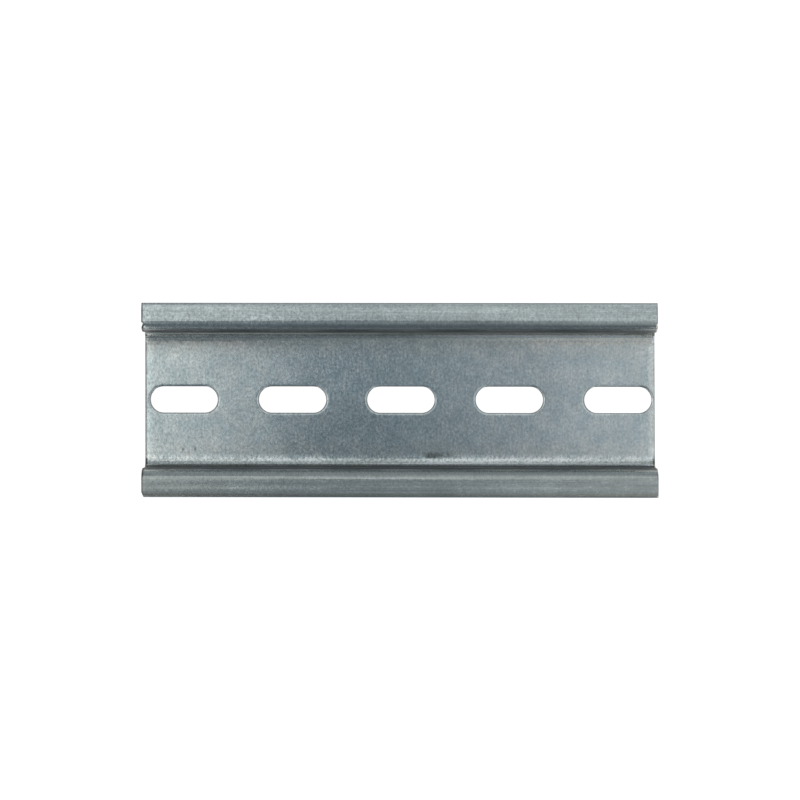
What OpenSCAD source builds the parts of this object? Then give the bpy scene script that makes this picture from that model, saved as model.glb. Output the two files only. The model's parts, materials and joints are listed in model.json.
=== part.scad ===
/* [Rail] */
// Length of the cut piece, along X, at its longer side
rail_length = 93.1; // [60:0.1:1000]
// Width over the two lips, along Y
rail_width = 35; // [33:0.1:40]
// Height from the back of the web to the top of the lips, along Z
rail_height = 7.5; // [7:0.1:15]
// Thickness of the sheet
sheet = 1; // [0.8:0.1:1.2]
// Width over the outside of the two channel walls
hat_width = 26.4; // [25:0.1:28]

/* [Bends] */
// Inside radius of the bend between the web and a wall
web_bend = 1.7; // [0.4:0.1:2]
// Inside radius of the bend between a wall and a lip
lip_bend = 1.1; // [0.4:0.1:1.2]

/* [Slots] */
// Number of slots in the row
slot_count = 5; // [1:1:5]
// Distance between the centres of two neighbouring slots
slot_pitch = 19.8; // [15:0.1:20]
// Length of a slot, end to end
slot_length = 12.3; // [8:0.1:13]
// Width of a slot
slot_width = 4.8; // [4:0.1:6.5]
// Distance from the left end of the rail to the centre of the first slot
first_slot = 7.1; // [7:0.1:7.5]

/* [Cut ends] */
// How far the right end is cut out of square, over the width of the rail
right_skew = 0.25; // [0.05:0.05:0.5]
// Depth of the nick that the shear left in the left end of a lip
nick_depth = 0.35; // [0.1:0.05:0.6]
// Width of that nick
nick_width = 1; // [0.4:0.1:1.2]
// Where the nick's point lies across it, as a share of its width from the lip's side
nick_lean = 0.35; // [0.1:0.05:0.9]
// Distance from the foot of the lip's flat to the middle of the nick
nick_place = 0.8; // [0.4:0.1:1]
// Size of the nick in the right end, as a share of the left one
right_nick = 0.6; // [0.3:0.1:1]
// Length along X of the clipped corner
clip_depth = 0.35; // [0.1:0.05:0.6]
// Length along Y of the clipped corner
clip_width = 0.9; // [0.5:0.1:2]

/* [Hidden] */
$fn = 64;
half_length = rail_length / 2;
half_width = rail_width / 2;
// Y of a wall's two faces
wall_out = hat_width / 2;
wall_in = wall_out - sheet;
// outside radii of the bends
web_bend_out = web_bend + sheet;
lip_bend_out = lip_bend + sheet;
// centre of the web's bend and centre of the lip's bend, in the plane of the section
web_centre = [wall_in - web_bend, web_bend_out];
lip_centre = [wall_out + lip_bend, rail_height - lip_bend_out];
// how far a cutting tool runs past what it cuts
past = 1;
// where the nicks lie across the rail, in the lip's bend
nick_y = lip_centre[0] - nick_place;
// how far the right end stands back for each step along Y, and where it is at the nick
skew_slope = right_skew / rail_width;
right_nick_x = half_length - skew_slope * (nick_y + half_width);

// A quarter of a bent sheet about the origin, filling one quadrant between two radii
module bend(inside, outside, side_x, side_y) {
    intersection() {
        difference() {
            circle(r = outside);
            circle(r = inside);
        }
        translate([side_x > 0 ? 0 : -outside, side_y > 0 ? 0 : -outside]) square(outside);
    }
}

// Half of the top-hat section: half the web, one wall and one lip
module half_section() {
    square([web_centre[0], sheet]);
    translate(web_centre) bend(web_bend, web_bend_out, 1, -1);
    translate([wall_in, web_centre[1]]) square([sheet, lip_centre[1] - web_centre[1]]);
    translate(lip_centre) bend(lip_bend, lip_bend_out, -1, 1);
    translate([lip_centre[0], rail_height - sheet]) square([half_width - lip_centre[0], sheet]);
}

// The whole section, drawn in X and Y, with the web on the X axis
module section() {
    half_section();
    mirror([1, 0]) half_section();
}

// The section rolled out along X
module rolled_strip() {
    translate([-half_length, 0, 0]) rotate([90, 0, 90]) linear_extrude(rail_length) section();
}

// One slot with round ends, long along X, cut through the web
module slot() {
    straight = slot_length - slot_width;
    translate([0, 0, -past]) {
        translate([-straight / 2, -slot_width / 2, 0]) cube([straight, slot_width, sheet + 2 * past]);
        for (end = [-1, 1]) translate([end * straight / 2, 0, 0])
            cylinder(h = sheet + 2 * past, d = slot_width);
    }
}

module slot_row() {
    for (i = [0 : slot_count - 1])
        translate([first_slot - half_length + i * slot_pitch, 0, 0]) slot();
}

// A pointed nick in the end of a lip, its point towards the middle of the rail
module nick(depth, width) {
    point_y = width * (0.5 - nick_lean);
    // the tool's sides run on past the end of the rail, where they are wider apart
    spread = width * (1 + past / depth);
    translate([0, 0, web_bend_out])
        linear_extrude(rail_height)
            polygon([[-past, point_y - spread * (1 - nick_lean)], [depth, point_y],
                     [-past, point_y + spread * nick_lean]]);
}

// A slanting cut across an outer corner of a lip
module corner_clip() {
    translate([0, 0, web_bend_out])
        linear_extrude(rail_height)
            polygon([[-past, -past], [clip_depth, -past], [clip_depth, 0], [0, clip_width],
                     [-past, clip_width]]);
}

// All that lies beyond the slanting cut at the right end, whose longer side is at -Y
module skew_cut() {
    over = skew_slope * past;
    translate([0, 0, -past])
        linear_extrude(rail_height + 2 * past)
            polygon([[half_length + over, -half_width - past], [half_length + 2 * past, -half_width - past],
                     [half_length + 2 * past, half_width + past],
                     [half_length - right_skew - over, half_width + past]]);
}

// What the shear and the handling took off the ends: a nick at each end of one lip,
// and an outer corner of the other lip
module end_damage() {
    skew_cut();
    translate([-half_length, nick_y, 0]) nick(nick_depth, nick_width);
    translate([right_nick_x, nick_y, 0]) mirror([1, 0])
        nick(nick_depth * right_nick, nick_width * right_nick);
    translate([-half_length, -half_width, 0]) corner_clip();
}

module rail() {
    color([0.62, 0.66, 0.68]) difference() {
        rolled_strip();
        slot_row();
        end_damage();
    }
}

rail();
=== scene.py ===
"""A slotted top-hat rail of zinc-plated steel, seen from straight above on a pale floor.

The rail is built as the flat blank that it is rolled from, and then folded: every point has a place
along the rail, a place across the blank and a depth below the blank's front skin.
"""

import json
import math

import bmesh
import bpy
import numpy as np
from mathutils import Euler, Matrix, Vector


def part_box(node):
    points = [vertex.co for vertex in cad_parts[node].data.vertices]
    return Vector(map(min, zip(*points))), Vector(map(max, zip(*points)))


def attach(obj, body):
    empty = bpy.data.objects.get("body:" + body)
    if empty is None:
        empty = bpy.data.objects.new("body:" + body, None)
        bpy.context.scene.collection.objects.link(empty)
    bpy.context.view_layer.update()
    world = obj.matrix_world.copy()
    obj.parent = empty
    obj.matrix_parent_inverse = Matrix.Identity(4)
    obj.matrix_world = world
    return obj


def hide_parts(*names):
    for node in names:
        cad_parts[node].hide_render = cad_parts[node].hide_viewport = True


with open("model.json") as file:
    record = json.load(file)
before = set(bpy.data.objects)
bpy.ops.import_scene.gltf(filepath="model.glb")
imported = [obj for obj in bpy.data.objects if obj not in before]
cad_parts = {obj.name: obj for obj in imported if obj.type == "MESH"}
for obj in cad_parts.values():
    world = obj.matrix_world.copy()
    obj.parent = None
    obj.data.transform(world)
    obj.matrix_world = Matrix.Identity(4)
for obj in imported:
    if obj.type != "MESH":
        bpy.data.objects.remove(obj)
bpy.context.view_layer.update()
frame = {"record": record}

MM = 0.001

# ---- sizes that the frame gives ----
low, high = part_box("rail")
HALF_LENGTH = (high.x - low.x) / 2
HALF_WIDTH = (high.y - low.y) / 2
HEIGHT = high.z - low.z
mounts = {mount["name"]: mount for mount in frame["record"]["mounts"]}
outer_slots = mounts["slots_outer"]
SHEET = outer_slots["pos_m"][2]
SLOT_COUNT = 5
SLOT_RADIUS = outer_slots["dims"]["hole_r_mm"] * MM
SLOT_HALF_STRAIGHT = outer_slots["dims"]["slot_length_mm"] / 2 * MM - SLOT_RADIUS
SLOT_PITCH = outer_slots["dims"]["spacing_x_mm"] * MM / (SLOT_COUNT - 1)
MIDDLE_SLOT = SLOT_COUNT // 2
SLOT_MIDDLES = [outer_slots["pos_m"][0] + (i - MIDDLE_SLOT) * SLOT_PITCH for i in range(SLOT_COUNT)]

# ---- sizes of the section, as in the CAD ----
HAT_HALF = 13.2 * MM
WEB_BEND = 1.7 * MM
LIP_BEND = 1.1 * MM
HALF_SHEET = SHEET / 2
WEB_BEND_MID = WEB_BEND + HALF_SHEET
LIP_BEND_MID = LIP_BEND + HALF_SHEET
WEB_CENTRE_Z = WEB_BEND + SHEET
LIP_CENTRE_Y = HAT_HALF + LIP_BEND
LIP_CENTRE_Z = HEIGHT - SHEET - LIP_BEND

# where each stretch of the blank ends, measured across it from the middle of the web
END_WEB = HAT_HALF - SHEET - WEB_BEND
END_WEB_BEND = END_WEB + WEB_BEND_MID * math.pi / 2
END_WALL = END_WEB_BEND + LIP_CENTRE_Z - WEB_CENTRE_Z
END_LIP_BEND = END_WALL + LIP_BEND_MID * math.pi / 2
END_LIP = END_LIP_BEND + HALF_WIDTH - LIP_CENTRE_Y

# ---- what punching and shearing leave ----
ROLL_LENGTH = 0.52 * MM      # width of the rounded-over rim on the front
ROLL_DEPTH = 0.12 * MM       # how far the rim is drawn down
RIGHT_ROLL = 0.5             # size of the rim at the right end, as a share of the others
DROOP_LENGTH = 2.0 * MM      # the last stretch before a sheared end, which droops
DROOP_DEPTH = 0.035 * MM
BACK_ROUND = 0.03 * MM       # rounding at the back of a cut
TEAR = 0.035 * MM            # how far the torn half of a cut stands back
# rows on a cut face: depth as a share of the sheet, and the share of the tear that it stands back
CUT_ROWS = ((0.0, 0.0), (0.30, 0.0), (0.42, 0.5), (0.62, 1.0), (0.85, 0.8), (1.0, 0.0))
NICK_PLACE = 0.8 * MM        # from the foot of the lip's flat, towards the channel
NICK_LEAN = 0.35             # where the point lies, as a share of the width from the lip's side
LEFT_NICK = (0.35 * MM, 1.0 * MM)    # depth and width
RIGHT_NICK = (0.21 * MM, 0.6 * MM)
RIGHT_SKEW = 0.25 * MM       # how far the right end is cut out of square
CLIP_DEPTH = 0.35 * MM
CLIP_WIDTH = 0.9 * MM

# ---- what rolling leaves: a bend that begins softly, and lips that fall towards their outer edge ----
WEB_EASE = 0.045 * MM        # how far the sheet is lifted in the web's +Y bend
WEB_EASE_MIDDLE = END_WEB + 1.0 * MM
WEB_EASE_REACH = 2.0 * MM
CORNER_SET = 0.14 * MM       # how much fuller the web's bends are than round
LIP_SLOPE = 0.032            # all over the lip
SAG_SLOPE = 0.20             # added at the outer edge
SAG_START = 1.3 * MM         # where the sag begins, from the lip's root
RIPPLE_PITCH = 1.9 * MM      # a long ripple across the lip
RIPPLE_SLOPE = 0.030         # its steepest slope, on the -Y lip
RIPPLE_PEAK = 0.55 * MM      # where the -Y lip falls outward the most, from the lip's root
PLUS_RIPPLE = -0.25          # size of the +Y lip's ripple, as a share of the -Y lip's
WAVE = 0.008 * MM            # how far the front skin waves
WAVE_LENGTH = 9 * MM
WAVE_SEED = 11

# ---- the mesh ----
CELL = 0.5 * MM
LIP_CELL = 0.12 * MM
END_REACH = 2.0 * MM         # the last stretch before an end, whose columns follow the nicks
PATCH_HALF = 4.0 * MM        # half the width of the stretch of web that holds the slots
OUTER_RINGS = 7              # rings of a slot's patch beyond its rim
RING_CROWDING = 1.3          # above 1, these rings are closer together near the rim
MERGE = 0.0005 * MM          # points closer together than this become one
ZINC, CUT = 0, 1             # the two finishes, in the order of the material slots
MAP_SIDE = 96 * MM           # side of the flat map, which holds the front and the back
# how far the mesh lines beside a cut lie from it: round the slots and along the lips, and at the ends
RIM_STEPS = [step * MM for step in (0.0, 0.04, 0.09, 0.15, 0.22, 0.30, 0.40, 0.52)]
END_STEPS = [step * MM for step in (0.0, 0.03, 0.07, 0.12, 0.18, 0.26, 0.34)]
WEB_BEND_STEPS = 14
LIP_BEND_STEPS = 20


def smoothstep(value):
    value = np.clip(value, 0.0, 1.0)
    return value * value * (3 - 2 * value)


def spaced(start, stop, cell):
    """Values from start to stop, both included, at most a cell apart."""
    return list(np.linspace(start, stop, max(2, math.ceil(abs(stop - start) / cell) + 1)))


def joined(*runs):
    """Runs of values joined end to end, with the shared ends kept once."""
    out = list(runs[0])
    for run in runs[1:]:
        out += list(run)[1:]
    return out


def fold(across, depth):
    """Y and Z of points of the blank once it is rolled to its section."""
    side = np.where(across < 0, -1.0, 1.0)
    run = np.abs(across)
    lift = HALF_SHEET - depth
    web_turn = np.clip((run - END_WEB) / WEB_BEND_MID, 0, math.pi / 2)
    web_radius = WEB_BEND_MID - lift
    y = np.minimum(run, END_WEB) + web_radius * np.sin(web_turn)
    z = WEB_CENTRE_Z - web_radius * np.cos(web_turn)
    z = z + np.clip(run - END_WEB_BEND, 0, END_WALL - END_WEB_BEND)
    lip_turn = np.clip((run - END_WALL) / LIP_BEND_MID, 0, math.pi / 2)
    lip_radius = LIP_BEND_MID + lift
    y = y + lip_radius * (1 - np.cos(lip_turn)) + np.clip(run - END_LIP_BEND, 0, None)
    z = z + lip_radius * np.sin(lip_turn)
    return side * y, z


def waves(along, across, seed, length, count=10):
    """A smooth, seeded, random surface between about -1 and 1, its waves of about this length."""
    random = np.random.default_rng(seed)
    total = np.zeros_like(along)
    for _ in range(count):
        turn = random.uniform(0, 2 * math.pi)
        pitch = 2 * math.pi / (length * random.uniform(0.7, 1.6))
        phase = random.uniform(0, 2 * math.pi)
        total += np.sin(pitch * (along * math.cos(turn) + across * math.sin(turn)) + phase)
    return total / math.sqrt(count)


def end_setback(across, side):
    """How far the cut end stands back from the rail's full length."""
    depth, width = LEFT_NICK if side < 0 else RIGHT_NICK
    y, _ = fold(across, np.zeros_like(across))
    # from the nick's point, positive towards the lip
    from_point = y - (LIP_CENTRE_Y - NICK_PLACE) - width * (0.5 - NICK_LEAN)
    side_width = np.where(from_point > 0, width * NICK_LEAN, width * (1 - NICK_LEAN))
    back = depth * np.clip(1 - np.abs(from_point) / side_width, 0, None)
    if side < 0:
        corner = END_LIP + across
        return back + CLIP_DEPTH * np.clip(1 - corner / CLIP_WIDTH, 0, None)
    return back + RIGHT_SKEW * (y + HALF_WIDTH) / (2 * HALF_WIDTH)


def rolled_over(distance, size=1.0):
    """Depth of the front skin beside a cut edge."""
    return size * ROLL_DEPTH * np.clip(1 - distance / (size * ROLL_LENGTH), 0, 1) ** 3


def droop(distance):
    """Depth of the front skin near a sheared end."""
    return DROOP_DEPTH * np.clip(1 - distance / DROOP_LENGTH, 0, 1) ** 2


def lip_relief(across):
    """How far a lip hangs below the flat it was rolled to: a slope, a sag at its edge, a ripple."""
    out = np.clip(np.abs(across) - END_LIP_BEND, 0, None)
    sag_length = END_LIP - END_LIP_BEND - SAG_START
    share = np.clip((out - SAG_START) / sag_length, 0, 1)
    sag = SAG_SLOPE * sag_length * (share ** 3 - share ** 4 / 2)
    turn = 2 * math.pi / RIPPLE_PITCH
    size = np.where(across < 0, RIPPLE_SLOPE, PLUS_RIPPLE * RIPPLE_SLOPE) / turn
    ripple = size * (np.sin(turn * (out - RIPPLE_PEAK)) + math.sin(turn * RIPPLE_PEAK))
    return LIP_SLOPE * out + sag + ripple


def sheet_relief(across):
    """How far the rolled sheet, front and back, lies below its plain section."""
    ease = WEB_EASE * np.exp(-((across - WEB_EASE_MIDDLE) / WEB_EASE_REACH) ** 2)
    turn = np.clip((np.abs(across) - END_WEB) / WEB_BEND_MID, 0, math.pi / 2)
    return lip_relief(across) + CORNER_SET * np.sin(2 * turn) ** 2 - ease


def from_slot_middle(along):
    """Distance along the rail from the middle of the nearest slot, negative to its left."""
    number = np.clip(np.round((along - SLOT_MIDDLES[0]) / SLOT_PITCH), 0, SLOT_COUNT - 1)
    return along - SLOT_MIDDLES[0] - number * SLOT_PITCH


def slot_distance(along, across):
    """Distance to the edge of the nearest slot."""
    past = np.clip(np.abs(from_slot_middle(along)) - SLOT_HALF_STRAIGHT, 0, None)
    return np.hypot(past, across) - SLOT_RADIUS


class Blank:
    """Collects the quads of the blank.

    Each corner has a place along, across and in depth, and a place on the flat map that is laid out
    for the finish: the front with its cut faces turned out, and below it the back.
    """

    def __init__(self):
        self.points = []
        self.map = []
        self.quads = []
        self.finishes = []

    def add(self, along, across, depth, flat_x, flat_y, finish):
        """Adds a grid of quads. The arrays have one row and one column for each line of the grid."""
        rows, columns = along.shape
        start = len(self.points)
        self.points += list(np.stack([along, across, depth], -1).reshape(-1, 3))
        self.map += list(np.stack([flat_x, flat_y], -1).reshape(-1, 2))
        for row in range(rows - 1):
            for column in range(columns - 1):
                corner = start + row * columns + column
                self.quads.append((corner, corner + 1, corner + columns + 1, corner + columns))
                self.finishes.append(finish)

    def add_skin(self, along, across, depth, front):
        if front:
            self.add(along, across, depth, along, across, ZINC)
        else:
            self.add(along, across, depth, -along, across - MAP_SIDE / 2, ZINC)


def skin_depth(along, across, nominal, front):
    """Depth of the front or back skin, with its rims rolled over, its relief and its waves."""
    rim = slot_distance(along, across)
    slit = END_LIP - np.abs(across)
    from_left = HALF_LENGTH + nominal
    from_right = HALF_LENGTH - nominal
    relief = sheet_relief(across)
    if front:
        rolled = sum(rolled_over(distance) for distance in (rim, slit, from_left))
        rolled += rolled_over(from_right, RIGHT_ROLL)
        wave = WAVE * (1 + waves(along, across, WAVE_SEED, WAVE_LENGTH) / 2)
        return rolled + droop(from_left) + droop(from_right) + relief + wave
    distances = (rim, slit, from_left, from_right)
    softened = [BACK_ROUND * np.clip(1 - distance / (2 * BACK_ROUND), 0, 1) for distance in distances]
    return SHEET - sum(softened) + relief


def placed(nominal, across):
    """The place along the rail of a column at its nominal place, moved where an end is nicked."""
    left = smoothstep(1 - (nominal + HALF_LENGTH) / END_REACH) * end_setback(across, -1)
    right = smoothstep(1 - (HALF_LENGTH - nominal) / END_REACH) * end_setback(across, 1)
    return nominal + left - right


def add_skin_grid(blank, columns, rows, front):
    nominal, across = np.meshgrid(columns, rows)
    along = placed(nominal, across)
    blank.add_skin(along, across, skin_depth(along, across, nominal, front), front)


def slot_outline(along, across, middle):
    """The nearest point of a slot's outline to each point."""
    hub = middle + np.clip(along - middle, -SLOT_HALF_STRAIGHT, SLOT_HALF_STRAIGHT)
    reach = np.hypot(along - hub, across)
    return hub + (along - hub) / reach * SLOT_RADIUS, across / reach * SLOT_RADIUS


def patch_border(columns, rows):
    """A closed walk round a rectangle, anticlockwise, through these columns and rows."""
    bottom = [(x, rows[0]) for x in columns]
    right = [(columns[-1], y) for y in rows[1:]]
    top = [(x, rows[-1]) for x in columns[-2::-1]]
    left = [(columns[0], y) for y in rows[-2::-1]]
    return np.array(bottom + right + top + left)


def add_slot_patch(blank, columns, rows, middle, front):
    """The stretch of web round one slot, as rings from the slot's edge out to a rectangle."""
    border = patch_border(columns, rows)
    edge_x, edge_y = slot_outline(border[:, 0], border[:, 1], middle)
    gap = np.hypot(border[:, 0] - edge_x, border[:, 1] - edge_y)
    # the rim is narrower where the rectangle comes close to the slot
    squeeze = np.minimum(1, gap / (1.25 * RIM_STEPS[-1]))
    steps = [step * squeeze for step in RIM_STEPS]
    for ring in range(1, OUTER_RINGS + 1):
        share = (ring / OUTER_RINGS) ** RING_CROWDING
        steps.append(steps[len(RIM_STEPS) - 1] * (1 - share) + gap * share)
    share = np.array(steps) / gap
    nominal = edge_x + share * (border[:, 0] - edge_x)
    across = edge_y + share * (border[:, 1] - edge_y)
    along = nominal + share * (placed(nominal, across) - nominal)
    blank.add_skin(along, across, skin_depth(along, across, nominal, front), front)
    if front:
        out_x = (edge_x - border[:, 0]) / gap
        out_y = (edge_y - border[:, 1]) / gap
        add_cut_face(blank, edge_x, edge_y, out_x, out_y, edge_x, TEAR)


def add_cut_face(blank, along, across, out_x, out_y, nominal, tear):
    """The cut face below an edge of the front skin: a smooth part, then a torn part that stands back."""
    front = skin_depth(along, across, nominal, True)
    back = skin_depth(along, across, nominal, False)
    rows_x = np.array([along - out_x * tear * back_off for _, back_off in CUT_ROWS])
    rows_y = np.array([across - out_y * tear * back_off for _, back_off in CUT_ROWS])
    rows_depth = np.array([front + (back - front) * share for share, _ in CUT_ROWS])
    flat_x = along + out_x * rows_depth
    flat_y = across + out_y * rows_depth
    blank.add(rows_x, rows_y, rows_depth, flat_x, flat_y, CUT)


def corner_tear(from_corner):
    """How far a cut face is torn back, at this distance from the corner where it meets another."""
    return TEAR * np.clip(from_corner / RIM_STEPS[-1], 0, 1)


def blank_rows():
    """Places across one half of the blank, outside the slot patches, with more of them in the bends."""
    slit = [END_LIP - step for step in reversed(RIM_STEPS)]
    return joined(
        spaced(PATCH_HALF, END_WEB, CELL),
        np.linspace(END_WEB, END_WEB_BEND, WEB_BEND_STEPS + 1),
        spaced(END_WEB_BEND, END_WALL, CELL),
        np.linspace(END_WALL, END_LIP_BEND, LIP_BEND_STEPS + 1),
        spaced(END_LIP_BEND, slit[0], LIP_CELL),
        slit,
    )


def add_outer_cuts(blank, columns, rows):
    """The cut faces at the two ends, and along the outer edges of the two lips."""
    across = np.array(rows)
    ones, zeros = np.ones_like(across), np.zeros_like(across)
    tear = corner_tear(END_LIP - np.abs(across))
    for side in (-1, 1):
        nominal = side * HALF_LENGTH * ones
        add_cut_face(blank, placed(nominal, across), across, side * ones, zeros, nominal, tear)
    nominal = np.array(columns)
    ones, zeros = np.ones_like(nominal), np.zeros_like(nominal)
    tear = corner_tear(HALF_LENGTH - np.abs(nominal))
    for side in (-1, 1):
        across = side * END_LIP * ones
        add_cut_face(blank, placed(nominal, across), across, zeros, side * ones, nominal, tear)


def make_blank():
    """The whole blank. Between its ends lies one field of columns for each slot."""
    blank = Blank()
    left_end = [-HALF_LENGTH + step for step in END_STEPS]
    right_end = [HALF_LENGTH - step for step in reversed(END_STEPS)]
    borders = [left_end[-1]]
    borders += [middle + SLOT_PITCH / 2 for middle in SLOT_MIDDLES[:-1]]
    borders += [right_end[0]]
    fields = [spaced(a, b, CELL) for a, b in zip(borders, borders[1:])]
    patch_rows = spaced(-PATCH_HALF, PATCH_HALF, CELL)
    upper_rows = blank_rows()
    lower_rows = [-row for row in reversed(upper_rows)]
    columns = joined(left_end, *fields, right_end)
    for front in (True, False):
        add_skin_grid(blank, columns, upper_rows, front)
        add_skin_grid(blank, columns, lower_rows, front)
        add_skin_grid(blank, left_end, patch_rows, front)
        add_skin_grid(blank, right_end, patch_rows, front)
        for field, middle in zip(fields, SLOT_MIDDLES):
            add_slot_patch(blank, field, patch_rows, middle, front)
    add_outer_cuts(blank, columns, joined(lower_rows, patch_rows, upper_rows))
    return blank


def add_vertices(bm, points):
    """One vertex for each point of the blank, folded, with the values that the finish needs."""
    along, across, depth = points.T
    y, z = fold(across, depth)
    distances = {
        "from_slot": slot_distance(along, across),
        "from_middle": from_slot_middle(along),
        "from_left": along + HALF_LENGTH - end_setback(across, -1),
        "from_right": HALF_LENGTH - end_setback(across, 1) - along,
    }
    blank_layer = bm.verts.layers.float_vector.new("blank")
    layers = {name: bm.verts.layers.float.new(name) for name in distances}
    for number, (place, point) in enumerate(zip(np.stack([along, y, z], -1), points)):
        vertex = bm.verts.new(place)
        vertex[blank_layer] = Vector(point)
        for name, values in distances.items():
            vertex[layers[name]] = values[number]
    bm.verts.ensure_lookup_table()


def add_faces(bm, blank):
    """The quads of the blank, with its flat map scaled into the square from 0 to 1."""
    spots = np.array(blank.map) / MAP_SIDE + (0.5, 0.75)
    map_layer = bm.loops.layers.uv.new("OFBake")
    for quad, finish in zip(blank.quads, blank.finishes):
        face = bm.faces.new([bm.verts[corner] for corner in quad])
        face.smooth = True
        face.material_index = finish
        for loop, corner in zip(face.loops, quad):
            loop[map_layer].uv = spots[corner]


def make_rail():
    blank = make_blank()
    mesh = bpy.data.meshes.new("rail_metal")
    piece = bpy.data.objects.new("rail_metal", mesh)
    bpy.context.scene.collection.objects.link(piece)
    bm = bmesh.new()
    add_vertices(bm, np.array(blank.points))
    add_faces(bm, blank)
    bmesh.ops.remove_doubles(bm, verts=bm.verts, dist=MERGE)
    bmesh.ops.recalc_face_normals(bm, faces=bm.faces)
    # the shading is sharp where the skin meets a cut face
    for edge in bm.edges:
        edge.smooth = len({face.material_index for face in edge.link_faces}) == 1
    bm.to_mesh(mesh)
    bm.free()
    return piece


# ---------------------------------------------------------------- materials

METAL = 0.85                 # how metallic both finishes are
DARKEST = -4.5 * MM          # the place along the rail where the web is the darkest
# the colours of the zinc. The web's first two are mixed in patches.
WEB_TINTS = ((0.545, 0.622, 0.625, 1), (0.60, 0.645, 0.63, 1))
BEND_TINT = (0.612, 0.645, 0.595, 1)
PLUS_LIP_TINT = (0.59, 0.643, 0.614, 1)
# the dark grey of the painted shade on the channel's walls
WALL_SHADE_TINT = (0.205, 0.205, 0.205, 1)
MINUS_BRINK_TINT = (0.63, 0.615, 0.52, 1)
RIM_TINT = (0.615, 0.62, 0.56, 1)
RIGHT_STRIP_TINT = (0.63, 0.65, 0.61, 1)
BACK_TINT = (0.50, 0.525, 0.54, 1)
# what the zinc's colour is multiplied by: away from the middle of the web; where the web is the darkest,
# as a painted cool cast of its shade; towards the left; and on the +Y foot, to warm its painted sheen
SIDE_SHIFT = (1.04, 1.0, 0.975, 1)
DARK_SHIFT = (0.96, 1.0, 1.0, 1)
LEFT_SHIFT = (1.0, 1.0, 0.975, 1)
FOOT_SHEEN_SHIFT = (1.06, 1.0, 0.95, 1)


class Nodes:
    """Makes the nodes of a material or a world with short calls.

    Sizes are in metres, unless a method says otherwise.
    """

    def __init__(self, owner, shader="Principled BSDF"):
        owner.use_nodes = True
        self.owner = owner
        self.tree = owner.node_tree
        self.shader = self.tree.nodes[shader]

    def put(self, socket, value):
        if isinstance(value, bpy.types.NodeSocket):
            self.tree.links.new(value, socket)
        else:
            socket.default_value = value

    def add(self, kind, inputs=None, **settings):
        node = self.tree.nodes.new(kind)
        for key, value in settings.items():
            setattr(node, key, value)
        for key, value in (inputs or {}).items():
            self.put(node.inputs[key], value)
        return node

    def attribute(self, name, output="Vector"):
        return self.add("ShaderNodeAttribute", attribute_name=name).outputs[output]

    def math(self, operation, a, b=0.0):
        node = self.add("ShaderNodeMath", operation=operation)
        self.put(node.inputs[0], a)
        self.put(node.inputs[1], b)
        return node.outputs[0]

    def product(self, first, *others):
        for other in others:
            first = self.math("MULTIPLY", first, other)
        return first

    def total(self, first, *others):
        for other in others:
            first = self.math("ADD", first, other)
        return first

    def stretched(self, vector, scale, offset=(0, 0, 0)):
        node = self.add("ShaderNodeMapping", {"Vector": vector, "Scale": scale, "Location": offset})
        return node.outputs["Vector"]

    def noise(self, vector, size, detail=2.0, rough=0.5):
        inputs = {"Vector": vector, "Scale": 1 / size, "Detail": detail, "Roughness": rough}
        return self.add("ShaderNodeTexNoise", inputs).outputs["Fac"]

    def fit(self, value, low_in, high_in, low_out=0.0, high_out=1.0, smooth=False):
        """The value moved from one range to another, and kept inside it."""
        node = self.add("ShaderNodeMapRange", {"Value": value, "From Min": low_in, "From Max": high_in,
                                               "To Min": low_out, "To Max": high_out})
        node.interpolation_type = "SMOOTHSTEP" if smooth else "LINEAR"
        return node.outputs["Result"]

    def ramp(self, distance, start, stop, low=0.0, high=1.0, smooth=False):
        """Goes from low to high as the distance goes from start to stop, both in millimetres."""
        return self.fit(distance, start * MM, stop * MM, low, high, smooth)

    def band(self, value, start, full, fade, stop):
        """1 between full and fade, 0 below start and above stop."""
        return self.product(self.fit(value, start, full, smooth=True),
                            self.fit(value, fade, stop, 1.0, 0.0, smooth=True))

    def band_mm(self, distance, *steps):
        """A band whose start, full, fade and stop are in millimetres."""
        return self.band(distance, *[step * MM for step in steps])

    def inverse(self, share):
        return self.math("SUBTRACT", 1.0, share)

    def dulled(self, share, least):
        """1 where the share is 0, falling to the least where it is 1."""
        return self.fit(share, 0.0, 1.0, 1.0, least)

    def varied(self, texture, low_in, high_in, swing, *masks):
        """A factor about 1 that follows the texture, by at most the swing, where the masks are 1."""
        return self.total(1.0, self.product(*masks, self.fit(texture, low_in, high_in, -swing, swing)))

    def mix(self, share, a, b, blend="MIX"):
        node = self.add("ShaderNodeMix", data_type="RGBA", blend_type=blend)
        self.put(node.inputs["Factor"], share)
        self.put(node.inputs[6], a)
        self.put(node.inputs[7], b)
        return node.outputs[2]

    def vectors(self, operation, a, b):
        return self.add("ShaderNodeVectorMath", {0: a, 1: b}, operation=operation).outputs["Vector"]

    def scaled(self, colour, amount):
        inputs = {"Vector": colour, "Scale": amount}
        return self.add("ShaderNodeVectorMath", inputs, operation="SCALE").outputs["Vector"]

    def bump(self, height):
        """The normal that a height in millimetres gives."""
        return self.add("ShaderNodeBump", {"Height": height, "Distance": MM}).outputs["Normal"]

    def ray(self, kind):
        """1 on a ray of this kind."""
        return self.add("ShaderNodeLightPath").outputs[f"Is {kind} Ray"]

    def passed_on(self):
        """1 on a ray that a shiny or clear surface has passed on."""
        return self.math("MAXIMUM", self.ray("Glossy"), self.ray("Transmission"))


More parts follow.
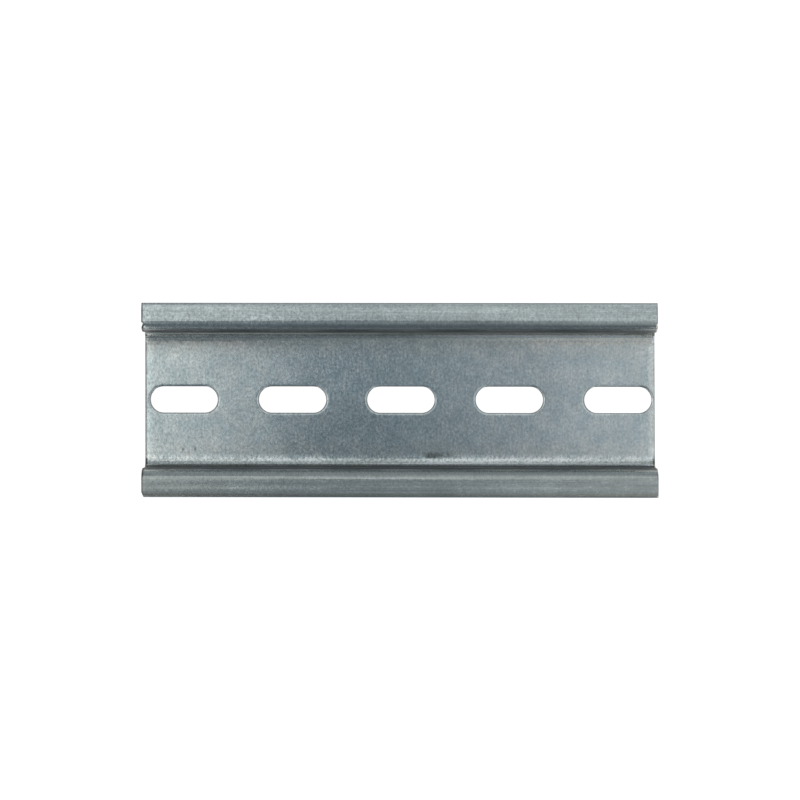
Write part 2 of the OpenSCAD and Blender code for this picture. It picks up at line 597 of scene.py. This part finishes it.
class Places:
    """Where a point of the zinc lies: its distances in metres, and masks that are 1 in one region.

    The foot is the bend between the web and a wall, and the head is the bend between a wall and a lip.
    The run is the distance across the blank from the middle of the web.
    """

    def __init__(self, nodes):
        self.nodes = nodes
        self.blank = nodes.attribute("blank")
        split = nodes.add("ShaderNodeSeparateXYZ", {"Vector": self.blank})
        self.x, self.y, self.depth = [split.outputs[axis] for axis in "XYZ"]
        self.run = nodes.math("ABSOLUTE", self.y)
        self.from_centre = nodes.math("ABSOLUTE", self.x)
        self.from_dark = nodes.math("ABSOLUTE", nodes.math("SUBTRACT", self.x, DARKEST))
        self.from_slot = nodes.attribute("from_slot", "Fac")
        self.from_middle = nodes.attribute("from_middle", "Fac")
        self.from_left = nodes.attribute("from_left", "Fac")
        self.from_right = nodes.attribute("from_right", "Fac")
        self.from_end = nodes.math("MINIMUM", self.from_left, self.from_right)
        self.from_slit = nodes.math("SUBTRACT", END_LIP, self.run)
        self.from_edge = nodes.math("MINIMUM", self.from_slot, self.from_slit)
        self.find_sides()
        self.find_stretches()

    def strip(self, begin, start, full, end, fade, stop):
        """A soft band across the blank, on both sides, between two borders of its stretches.

        It starts and is full at so many millimetres from the first border, and it fades and stops at so
        many from the second.
        """
        return self.nodes.band(self.run, begin + start * MM, begin + full * MM,
                               end + fade * MM, end + stop * MM)

    def find_sides(self):
        nodes = self.nodes
        # the two sides are those of the front's skin: what they bound doesn't show on the back
        self.on_front = nodes.fit(self.depth, 0.6 * SHEET, 0.9 * SHEET, 1.0, 0.0)
        self.minus = nodes.product(self.on_front, nodes.ramp(self.y, -1, 1, 1.0, 0.0))
        self.plus = nodes.product(self.on_front, nodes.ramp(self.y, -1, 1))
        self.to_left = nodes.fit(self.x, -HALF_LENGTH, -14 * MM, 1.0, 0.0, smooth=True)
        self.to_right = nodes.ramp(self.x, -2, 22, smooth=True)
        self.in_middle = nodes.product(nodes.inverse(self.to_right), nodes.inverse(self.to_left))
        self.near_end = nodes.ramp(self.from_end, 0, 6, 1.0, 0.0)
        self.at_end = nodes.ramp(self.from_end, 0.35, 0.55, 1.0, 0.0, smooth=True)

    def find_stretches(self):
        nodes = self.nodes
        self.on_web = nodes.fit(self.run, END_WEB - 1.0 * MM, END_WEB, 1.0, 0.0, smooth=True)
        self.right_strip = nodes.product(self.on_web, nodes.band_mm(self.from_right, 0.05, 0.2, 0.6, 1.5))
        self.in_foot = self.strip(END_WEB, -0.8, 0.3, END_WEB, 0.8, 2.6)
        # the wall's painted shade and its rougher finish reach further into the foot on the -Y side, and
        # less far into the head
        foot_run = nodes.total(self.run, nodes.product(self.minus, 1.35 * MM))
        head_run = nodes.total(self.run, nodes.product(self.minus, 0.25 * MM))
        self.on_wall = nodes.product(
            self.on_front,
            nodes.fit(foot_run, END_WEB_BEND - 0.5 * MM, END_WEB_BEND + 0.2 * MM, smooth=True),
            nodes.fit(head_run, END_WALL + 0.85 * MM, END_WALL + 1.45 * MM, 1.0, 0.0, smooth=True),
        )
        self.root = self.strip(END_LIP_BEND, -0.4, -0.25, END_LIP_BEND, 0.05, 0.15)
        self.on_lip = nodes.fit(self.run, END_LIP_BEND - 0.8 * MM, END_LIP_BEND, smooth=True)
        self.past_root = nodes.fit(self.run, END_LIP_BEND + 0.2 * MM, END_LIP_BEND + 0.7 * MM,
                                   smooth=True)


class Textures:
    """The noises of the zinc, some of them drawn out along the rail or across it."""

    def __init__(self, nodes, at):
        # depth counts sixfold, so that the back doesn't copy the front
        skin = nodes.stretched(at.blank, (1, 1, 6))
        self.grain = nodes.noise(nodes.stretched(skin, (1, 0.72, 1)), 0.40 * MM, rough=0.7)
        self.columns = nodes.noise(nodes.stretched(skin, (1, 0.09, 1)), 0.30 * MM)
        self.stripes = nodes.noise(nodes.stretched(skin, (0.012, 1, 1)), 0.30 * MM, detail=3.0, rough=0.6)
        self.blotches = nodes.noise(nodes.stretched(skin, (1, 0.4, 1)), 0.45 * MM, detail=3.0, rough=0.6)
        self.patches = nodes.noise(skin, 3.0 * MM, detail=3.0, rough=0.55)
        self.clouds = nodes.noise(skin, 11 * MM)
        scuffs = nodes.noise(nodes.stretched(skin, (0.22, 1, 1), (0.003, 0, 0)), 0.28 * MM)
        self.scuffed = nodes.product(at.on_lip, nodes.fit(self.clouds, 0.35, 0.6),
                                     nodes.fit(scuffs, 0.56, 0.70))
        pit_cells = nodes.add("ShaderNodeTexVoronoi", {"Vector": skin, "Scale": 1 / (1.3 * MM)})
        pit_size = nodes.fit(pit_cells.outputs["Color"], 0.45, 1.0, 0.02, 0.13)
        self.pits = nodes.math("LESS_THAN", pit_cells.outputs["Distance"], pit_size)
        self.marks = handling_marks(nodes, at.blank, self.blotches)


def spot(nodes, blank, x, y, half_x, half_y):
    """A soft oval mark on the web, 1 in its middle. Its sizes are in millimetres."""
    moved = nodes.vectors("SUBTRACT", blank, (x * MM, y * MM, 0))
    shares = nodes.vectors("DIVIDE", moved, (half_x * MM, half_y * MM, 1))
    length = nodes.add("ShaderNodeVectorMath", {"Vector": shares}, operation="LENGTH")
    return nodes.fit(length.outputs["Value"], 0.3, 1.0, 1.0, 0.0, smooth=True)


def handling_marks(nodes, blank, blotches):
    """A dark smudge below the right end of the third slot, and two ticks below the first slot.

    The back has them too, in the same places.
    """
    smudge = spot(nodes, blank, 5.9, -10.15, 2.6, 0.9)
    faint = spot(nodes, blank, 8.4, -10.15, 1.9, 0.8)
    ticks = [spot(nodes, blank, x, -9.1, 0.35, 0.45) for x in (-39.6, -37.4)]
    return nodes.total(nodes.product(smudge, nodes.fit(blotches, 0.3, 0.6, 1.3, 0.6)),
                       nodes.product(faint, nodes.fit(blotches, 0.4, 0.55, 0.0, 0.8)),
                       *[nodes.product(tick, 0.6) for tick in ticks])


def zinc_tint(nodes, at, patches):
    """The zinc's colour before its light and dark: layers, each laid over those before it, the walls'
    painted shade among them.
    """
    # where the painted sheen on the +Y foot is warmed
    over_foot = nodes.product(at.plus, nodes.fit(at.to_right, 0.0, 1.0, 0.5, 1.0),
                              at.strip(END_WEB, -1.0, 0, END_WEB_BEND, -1.7, -1.3))
    brink = nodes.product(nodes.ramp(at.from_slit, 0.4, 1.0, 1.0, 0.0), at.minus)
    rim = nodes.ramp(nodes.math("MINIMUM", at.from_edge, at.from_end), 0.15, 0.3, 1.0, 0.0)
    layers = (
        (nodes.ramp(at.run, 7, 9), SIDE_SHIFT, "MULTIPLY"),
        (nodes.ramp(at.from_dark, 8, 26, 1.0, 0.0), DARK_SHIFT, "MULTIPLY"),
        (at.to_left, LEFT_SHIFT, "MULTIPLY"),
        (nodes.fit(at.run, END_WEB, END_WEB + 1 * MM), BEND_TINT, "MIX"),
        (nodes.product(at.on_lip, at.plus), PLUS_LIP_TINT, "MIX"),
        (over_foot, FOOT_SHEEN_SHIFT, "MULTIPLY"),
        # painted shade: the front of the walls is mixed to a dark grey
        (at.on_wall, WALL_SHADE_TINT, "MIX"),
        (brink, MINUS_BRINK_TINT, "MIX"),
        (rim, RIM_TINT, "MIX"),
        (at.right_strip, RIGHT_STRIP_TINT, "MIX"),
    )
    tint = nodes.mix(nodes.fit(patches, 0.38, 0.62), *WEB_TINTS)
    for share, colour, blend in layers:
        tint = nodes.mix(share, tint, colour, blend)
    return nodes.mix(at.on_front, BACK_TINT, tint)


# Each function below lists stretches of the zinc: painted shade, painted highlights, and the rims that
# the punch and the slitter burnished. A row has what is left of the light there, or what the light gains,
# and then the masks that bound the stretch.


def painted_shade_on_web(nodes, at):
    return [
        # painted shade beside the +Y foot, on the left
        (0.88, at.on_web, nodes.ramp(at.x, -22, -8, 1.0, 0.0), nodes.ramp(at.y, 8.0, 9.5)),
        (0.86, at.plus, nodes.ramp(at.x, -14, -8, 1.0, 0.0),
         at.strip(END_WEB, -0.9, -0.5, END_WEB, 0, 0.15)),
        # painted shade on the middle of the -Y half, about where the web is the darkest
        (0.90, at.on_web, nodes.ramp(at.from_dark, 12, 28, 1.0, 0.0, smooth=True),
         nodes.ramp(at.y, -4, 1, 1.0, 0.0, smooth=True)),
    ]


def painted_shade_on_foot_and_wall(nodes, at):
    return [
        # painted shade on the -Y foot, on the left and towards the right end
        (0.82, at.minus, at.in_foot, at.to_left),
        (0.66, at.minus, nodes.ramp(at.x, 14, 44), at.strip(END_WEB, 0.7, 0.9, END_WEB, 1.3, 1.6)),
        # painted shade on the +Y foot, on the left, and on its upper part at the right end
        (0.78, at.plus, at.to_left, at.strip(END_WEB, -1.1, 0.1, END_WEB, 0.4, 1.3)),
        (0.60, at.plus, at.to_right, at.near_end,
         at.strip(END_WEB_BEND, -2.2, -1.9, END_WEB_BEND, -0.3, 0.2)),
        # painted shade on the -Y wall
        (0.52, at.minus, at.strip(END_WEB_BEND, -0.4, 0.1, END_WALL, 0.2, 0.7)),
    ]


def painted_shade_on_head(nodes, at):
    border = END_LIP_BEND
    return [
        # painted shade on the +Y head, on the right and in the middle, and on its top
        (0.78, at.plus, at.to_right, at.strip(border, -1.6, -1.0, border, -0.5, -0.2)),
        (0.72, at.plus, at.in_middle, at.strip(border, -1.15, -1.0, border, -0.75, -0.5)),
        (0.87, at.plus, at.root, nodes.fit(at.run, border - 0.25 * MM, border - 0.1 * MM)),
        # painted shade on the -Y head: a band all along, one below it but for the ends, one at the ends,
        # and the top but for the middle
        (0.83, at.minus, at.strip(border, -1.1, -0.9, border, -0.6, -0.35)),
        (0.83, at.minus, nodes.ramp(at.from_centre, 28, 40, 1.0, 0.0),
         at.strip(border, -1.4, -1.2, border, -1.0, -0.9)),
        (0.65, at.minus, at.near_end, at.strip(border, -2.0, -1.7, border, -1.4, -1.1)),
        (0.80, at.minus, at.root, nodes.ramp(at.from_centre, 6, 20)),
    ]


def painted_shade_on_lip(nodes, at):
    border = END_LIP_BEND
    return [
        # painted shade on the -Y lip, on the left, at the right end, and along its outer edge
        (0.80, at.minus, at.past_root, at.to_left),
        (0.80, at.minus, nodes.ramp(at.x, 27, 44), at.strip(border, 0.6, 0.9, border, 1.5, 1.9)),
        (0.80, at.minus, nodes.ramp(at.from_slit, 0.5, 0.95, 1.0, 0.0, smooth=True)),
    ]


def painted_shade_at_ends(nodes, at):
    arris = nodes.ramp(at.from_left, 0.32, 0.42, 1.0, 0.0)
    return [
        # painted shade over the arris at the left end, most of all in the head
        (0.68, arris),
        (0.40, arris, at.strip(END_WALL, 0, 0.4, END_LIP_BEND, -0.8, -0.3)),
        # a painted shadow in the corner of each foot, at the ends
        (0.35, at.at_end, at.plus, at.strip(END_WEB, 1.2, 1.6, END_WALL, 0, 0.4)),
        (0.35, at.at_end, at.minus, at.strip(END_WEB, -0.3, 0.4, END_WALL, 0, 0.4)),
    ]


def painted_light_stretches(nodes, at):
    web_ends = nodes.math("MAXIMUM", at.to_left, nodes.ramp(at.x, 30, 44))
    return [
        # painted light on the web beside the -Y foot, at both ends
        (0.10, at.on_web, nodes.ramp(at.y, -9.0, -6.5, 1.0, 0.0), web_ends),
        # painted highlights on the -Y foot, where the wall's painted shade begins but for the left, and
        # low down on the left
        (0.45, at.minus, nodes.ramp(at.x, -14, -4),
         at.strip(END_WEB, 1.2, 1.45, END_WEB, 1.85, 2.05)),
        (0.12, at.minus, at.to_left, at.strip(END_WEB, -0.1, 0.1, END_WEB, 0.3, 0.55)),
        # painted light on the -Y lip, between the middle and the right
        (0.10, at.minus, at.past_root, nodes.band_mm(at.x, 8, 14, 25, 30)),
    ]


def burnish_and_painted_highlights(nodes, at):
    rim = (0.12, 0.2, 0.32, 0.42)
    return [
        # the rims, which the punch and the slitter burnished, but for the right ends of the slots
        (0.25, nodes.band_mm(at.from_slot, *rim),
         nodes.ramp(at.from_middle, 3.2, 5.0, 1.0, 0.0, smooth=True)),
        (0.25, nodes.band_mm(at.from_slit, *rim)),
        # a strip of the web along the right end, more so at its +Y end
        (1.00, at.right_strip, nodes.ramp(at.y, 7.5, 9, 0.2, 0.45)),
        # painted highlights on the +Y foot: its top on the left, its lower part and a crest on the right,
        # and its ends
        (1.70, at.plus, nodes.ramp(at.x, -20, 4, 1.0, 0.0),
         at.strip(END_WEB_BEND, -1.6, -1.2, END_WEB_BEND, -0.8, -0.2)),
        (0.40, at.plus, at.to_right, at.strip(END_WEB, 0.1, 0.6, END_WEB_BEND, -1.8, -1.6)),
        (1.00, at.plus, at.to_right, nodes.ramp(at.from_right, 2, 7, 0.3, 1.0),
         at.strip(END_WEB_BEND, -2.25, -1.95, END_WEB_BEND, -1.65, -1.5)),
        (0.80, at.plus, at.at_end, at.strip(END_WEB, -0.3, 0.1, END_WEB, 0.8, 1.2)),
        # along the outer edge of the +Y lip, on the left
        (0.20, at.plus, at.to_left, nodes.band_mm(at.from_slit, 0.2, 0.5, 1.0, 1.3)),
    ]


def texture_light(nodes, at, textures):
    """The factors by which the textures lighten and darken the zinc."""
    # the grain is fainter past the wall, but for the +Y lip, and it is stronger towards the left
    calm = nodes.product(nodes.fit(at.run, END_WALL - 0.3 * MM, END_WALL),
                         nodes.inverse(nodes.product(at.plus, at.on_lip)))
    # the -Y foot gets a blotchy painted highlight, and painted shade near where the web is the darkest
    minus_foot = nodes.product(at.in_foot, at.minus)
    blotchy_highlight = nodes.fit(textures.blotches, 0.35, 0.68, -0.12, 0.70)
    return [
        nodes.varied(textures.grain, 0.22, 0.78, 0.36, nodes.dulled(calm, 0.6),
                     nodes.fit(at.x, -HALF_LENGTH, 0.0, 1.3, 0.85)),
        nodes.fit(textures.patches, 0.3, 0.7, 0.94, 1.06),
        nodes.fit(textures.clouds, 0.3, 0.7, 0.96, 1.04),
        nodes.varied(textures.columns, 0.3, 0.7, 0.07, at.on_web),
        nodes.varied(textures.stripes, 0.3, 0.7, 0.12, at.on_lip),
        nodes.total(1.0, nodes.product(minus_foot, blotchy_highlight)),
        nodes.total(1.0, nodes.product(minus_foot, nodes.ramp(at.from_dark, 3, 12, -0.20, 0.14))),
        nodes.total(1.0, nodes.product(textures.scuffed, 0.35)),
        nodes.dulled(textures.pits, 0.72),
        nodes.dulled(textures.marks, 0.27),
    ]


def zinc_light(nodes, at, textures):
    """How light the zinc is, as a factor on its tint: its textures and marks, with painted shade and
    painted highlights.
    """
    # the painted shade of the stretches listed above
    dull = (painted_shade_on_web(nodes, at) + painted_shade_on_foot_and_wall(nodes, at) + painted_shade_on_head(nodes, at)
            + painted_shade_on_lip(nodes, at) + painted_shade_at_ends(nodes, at))
    factors = [nodes.dulled(nodes.product(*masks), left) for left, *masks in dull]
    for rows in (painted_light_stretches(nodes, at), burnish_and_painted_highlights(nodes, at)):
        factors.append(nodes.total(1.0, *[nodes.product(*row) for row in rows]))
    # the very edge of a slot or a lip
    factors.append(nodes.ramp(at.from_edge, 0.02, 0.13, 0.6, 1.0))
    return nodes.product(*texture_light(nodes, at, textures), *factors)


def zinc_roughness(nodes, at, textures):
    minus_head = nodes.product(at.minus, at.strip(END_WALL, 0, 0.3, END_LIP_BEND, -1.0, -0.4))
    return nodes.total(
        nodes.fit(textures.grain, 0.3, 0.7, 0.15, 0.185),
        nodes.product(at.on_wall, 0.25),
        nodes.product(minus_head, 0.10),
        nodes.product(at.on_lip, at.minus, at.to_left, 0.12),
        nodes.product(textures.marks, 0.15),
    )


def zinc_height(nodes, at, textures):
    """The relief of the skin, in millimetres."""
    return nodes.total(
        nodes.product(textures.grain, 0.001),
        nodes.product(at.in_foot, textures.blotches, 0.012),
        nodes.product(at.on_lip, textures.stripes, 0.004),
        nodes.product(textures.pits, -0.002),
    )


def zinc_material():
    """Zinc plate, its finish laid out on the flat blank, so that it follows the bends."""
    nodes = Nodes(bpy.data.materials.new("zinc_plate"))
    at = Places(nodes)
    textures = Textures(nodes, at)
    tint = zinc_tint(nodes, at, textures.patches)
    light = zinc_light(nodes, at, textures)
    nodes.put(nodes.shader.inputs["Base Color"], nodes.scaled(tint, light))
    nodes.put(nodes.shader.inputs["Roughness"], zinc_roughness(nodes, at, textures))
    nodes.put(nodes.shader.inputs["Metallic"], METAL)
    nodes.put(nodes.shader.inputs["Normal"], nodes.bump(zinc_height(nodes, at, textures)))
    return nodes.owner


def cut_material():
    """Bare sheared steel, drawn down along the thickness of the sheet."""
    nodes = Nodes(bpy.data.materials.new("sheared_steel"))
    blank = nodes.attribute("blank")
    drag = nodes.noise(nodes.stretched(blank, (1, 1, 0.15)), 0.12 * MM, detail=3.0)
    torn = nodes.noise(blank, 0.1 * MM, detail=3.0)
    colour = nodes.mix(nodes.fit(drag, 0.3, 0.7), (0.33, 0.33, 0.32, 1), (0.50, 0.50, 0.48, 1))
    nodes.put(nodes.shader.inputs["Base Color"], colour)
    nodes.put(nodes.shader.inputs["Metallic"], METAL)
    nodes.put(nodes.shader.inputs["Roughness"], nodes.fit(torn, 0.3, 0.7, 0.3, 0.5))
    nodes.put(nodes.shader.inputs["Normal"], nodes.bump(nodes.product(drag, 0.006)))
    return nodes.owner


# ---------------------------------------------------------------- stage, light and camera

WHITE = (1, 1, 1, 1)
FLOOR_HALF = 1.5
FLOOR_GREY = 0.45
FLOOR_GLOW = 0.90            # with the light on its grey, this makes the floor white to the camera
ROOM_COLOUR = (0.74, 1.0, 1.30, 1)
ROOM_LEVEL = 0.13            # 1 would be as bright as the backdrop
BACKDROP_TOP = math.sin(math.radians(1.5))    # the Z of a direction that meets the backdrop's top


def make_floor():
    half = FLOOR_HALF
    mesh = bpy.data.meshes.new("floor")
    corners = [(-half, -half, 0), (half, -half, 0), (half, half, 0), (-half, half, 0)]
    mesh.from_pydata(corners, [], [(0, 1, 2, 3)])
    floor = bpy.data.objects.new("floor", mesh)
    bpy.context.scene.collection.objects.link(floor)
    nodes = Nodes(bpy.data.materials.new("pale_floor"))
    nodes.put(nodes.shader.inputs["Base Color"], (FLOOR_GREY, FLOOR_GREY, FLOOR_GREY, 1))
    nodes.put(nodes.shader.inputs["Roughness"], 0.9)
    seen = nodes.math("MAXIMUM", nodes.ray("Camera"), nodes.passed_on())
    nodes.put(nodes.shader.inputs["Emission Color"], WHITE)
    nodes.put(nodes.shader.inputs["Emission Strength"], nodes.product(seen, FLOOR_GLOW))
    floor.data.materials.append(nodes.owner)


def make_world():
    """The dim, bluish room round the lamps, with a low white backdrop all round.

    The metal is lit by the room, but the camera sees the backdrop's white all the way up.
    """
    nodes = Nodes(bpy.data.worlds.new("studio"), "Background")
    split = nodes.add("ShaderNodeSeparateXYZ",
                      {"Vector": nodes.add("ShaderNodeTexCoord").outputs["Generated"]})
    low_down = nodes.fit(split.outputs["Z"], BACKDROP_TOP / 2, BACKDROP_TOP, 1.0, 0.0)
    seen = nodes.math("MAXIMUM", nodes.ray("Camera"), nodes.product(nodes.passed_on(), low_down))
    nodes.put(nodes.shader.inputs["Color"], nodes.mix(seen, ROOM_COLOUR, WHITE))
    nodes.put(nodes.shader.inputs["Strength"], nodes.fit(seen, 0.0, 1.0, ROOM_LEVEL, 1.0))
    bpy.context.scene.world = nodes.owner


# the lamps: name, level, and how far the left, right, front and back sides lean from straight up,
# in degrees as seen from the rail. Level 1 is as bright as white.
PANELS = (
    ("panel_back_wide", 0.23, -42, 42, 4, 80),
    ("panel_back", 0.17, -5, 5, 4, 19),
    ("panel_front", 0.10, -5, 5, -30, -4),
    ("panel_left", 0.74, -42, -5, -4, 4),
    ("panel_left_back", 0.37, -27, -5, 4, 30),
    ("panel_left_front", 0.43, -42, -10, -30, 4),
    ("panel_left_low", 1.5, -42, -27, -75, -44),
    ("panel_right_back", 0.22, 0, 27, -4, 44),
    ("panel_right_front", 0.37, 5, 42, -12, 4),
    ("panel_right_mid", 0.27, 5, 42, -44, -12),
    ("panel_right_low", 2.0, 27, 42, -75, -44),
    ("panel_far_left", 0.35, -78, -50, -78, 78),
    ("panel_far_right", 0.35, 50, 78, -78, 78),
)
PANEL_HEIGHT = 1.2
PANEL_GAP = 0.01             # each panel hangs this much higher than the one before it


def make_lights():
    """Soft flat panels over the rail.

    They leave dark gaps just left of straight above it, and low down in front.
    """
    for number, (name, level, *sides) in enumerate(PANELS):
        height = PANEL_HEIGHT + number * PANEL_GAP
        left, right, front, back = [height * math.tan(math.radians(side)) for side in sides]
        lamp = bpy.data.lights.new(name, "AREA")
        lamp.shape = "RECTANGLE"
        lamp.size = right - left
        lamp.size_y = back - front
        lamp.energy = level * math.pi * lamp.size * lamp.size_y
        holder = bpy.data.objects.new(name, lamp)
        holder.location = ((left + right) / 2, (front + back) / 2, height)
        bpy.context.scene.collection.objects.link(holder)


SENSOR = 36.0                # width, in millimetres
LENS = 104.6                 # focal length, in millimetres
CAMERA_PLACE = (0.00315, 0.0068, 0.4251)
CAMERA_TILT = (-0.924, 0.429, 0.065)    # degrees from straight down, about X, Y and Z
CLIP_START = 0.01


def make_camera():
    camera = bpy.data.cameras.new("camera")
    camera.sensor_width = SENSOR
    camera.lens = LENS
    camera.clip_start = CLIP_START
    holder = bpy.data.objects.new("camera", camera)
    holder.location = CAMERA_PLACE
    holder.rotation_euler = Euler([math.radians(angle) for angle in CAMERA_TILT], "XYZ")
    bpy.context.scene.collection.objects.link(holder)
    bpy.context.scene.camera = holder


rail = make_rail()
rail.data.materials.append(zinc_material())
rail.data.materials.append(cut_material())
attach(rail, "root")
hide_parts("rail")
make_floor()
make_world()
make_lights()
make_camera()
bpy.context.scene.view_settings.view_transform = "Standard"
